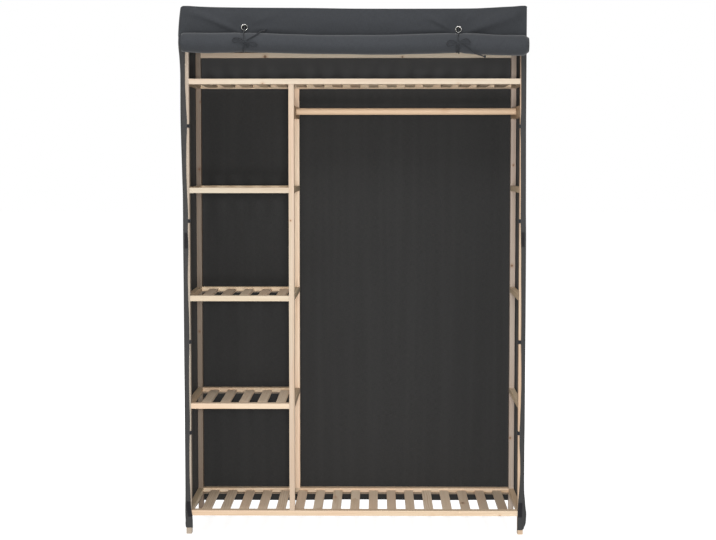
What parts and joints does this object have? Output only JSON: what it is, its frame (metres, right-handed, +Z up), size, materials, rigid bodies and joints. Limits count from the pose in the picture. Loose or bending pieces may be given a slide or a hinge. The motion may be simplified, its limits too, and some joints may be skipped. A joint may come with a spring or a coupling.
{
  "type": "portable fabric wardrobe",
  "caption": "Free-standing wardrobe: a slatted pine frame with shelves and a hanging rod inside a charcoal fabric cover whose front flap rolls up and is tied.",
  "frame": {"origin": "on the floor under the centre of the overall box, the tie cords not counted", "axes": "+Z up; -Y is the open front with the rolled door; +X is the wide hanging side, on the right seen from the front"},
  "size_m": [1.096, 0.4775, 1.6943],
  "materials": {
    "pine": "planed bare pine",
    "rod_wood": "turned dowel, slightly darker",
    "cover_fabric": "matt woven synthetic, charcoal",
    "back_fabric": "matt woven synthetic, charcoal, wrong side out",
    "tape_fabric": "woven tape, darker",
    "tie_cord": "braided cord, dark grey",
    "eyelet_metal": "nickel plated, bright"
  },
  "bodies": {
    "frame": {"post_front_left": "pine", "post_front_right": "pine", "post_back_left": "pine", "post_back_right": "pine", "divider_post_front": "pine", "divider_post_back": "pine", "top_rail_front": "pine", "top_rail_back": "pine", "top_rail_left": "pine", "top_rail_right": "pine", "upper_back_stretcher": "pine", "left_rung_bottom": "pine", "left_rung_shelf_4": "pine", "left_rung_shelf_3": "pine", "left_rung_shelf_2": "pine", "left_rung_upper": "pine", "right_rung_bottom": "pine", "right_rung_shelf_4": "pine", "right_rung_shelf_3": "pine", "right_rung_shelf_2": "pine", "right_rung_upper": "pine", "divider_rung_shelf_4": "pine", "divider_rung_shelf_3": "pine", "divider_rung_shelf_2": "pine", "bottom_rail_front": "pine", "bottom_rail_back": "pine", "bottom_slats": "pine", "shelf_4_rail_front": "pine", "shelf_4_rail_back": "pine", "shelf_4_slats": "pine", "shelf_3_rail_front": "pine", "shelf_3_rail_back": "pine", "shelf_3_slats": "pine", "shelf_2_rail_front": "pine", "shelf_2_rail_back": "pine", "shelf_2_slats": "pine", "upper_rail_front": "pine", "upper_rail_back": "pine", "upper_slats": "pine", "rod_support_left": "pine", "rod_support_right": "pine", "hanging_rod": "rod_wood", "cover_top": "cover_fabric", "cover_back": "back_fabric", "cover_side_left": "cover_fabric", "cover_side_right": "cover_fabric", "front_valance": "cover_fabric", "eyelet_left": "eyelet_metal", "eyelet_right": "eyelet_metal", "tie_cord_left": "tie_cord", "tie_cord_right": "tie_cord", "strap_left_1": "tape_fabric", "strap_left_2": "tape_fabric", "strap_left_3": "tape_fabric", "strap_left_4": "tape_fabric", "strap_right_1": "tape_fabric", "strap_right_2": "tape_fabric", "strap_right_3": "tape_fabric", "strap_right_4": "tape_fabric"},
    "door": {"door_roll": "cover_fabric"}
  },
  "joints": [
    {"name": "door_unroll", "type": "slide", "parent": "frame", "child": "door", "axis": [0, 0, -1], "range_m": [0, 1.51], "deforming": ["tie_cord_left", "tie_cord_right"]}
  ]
}
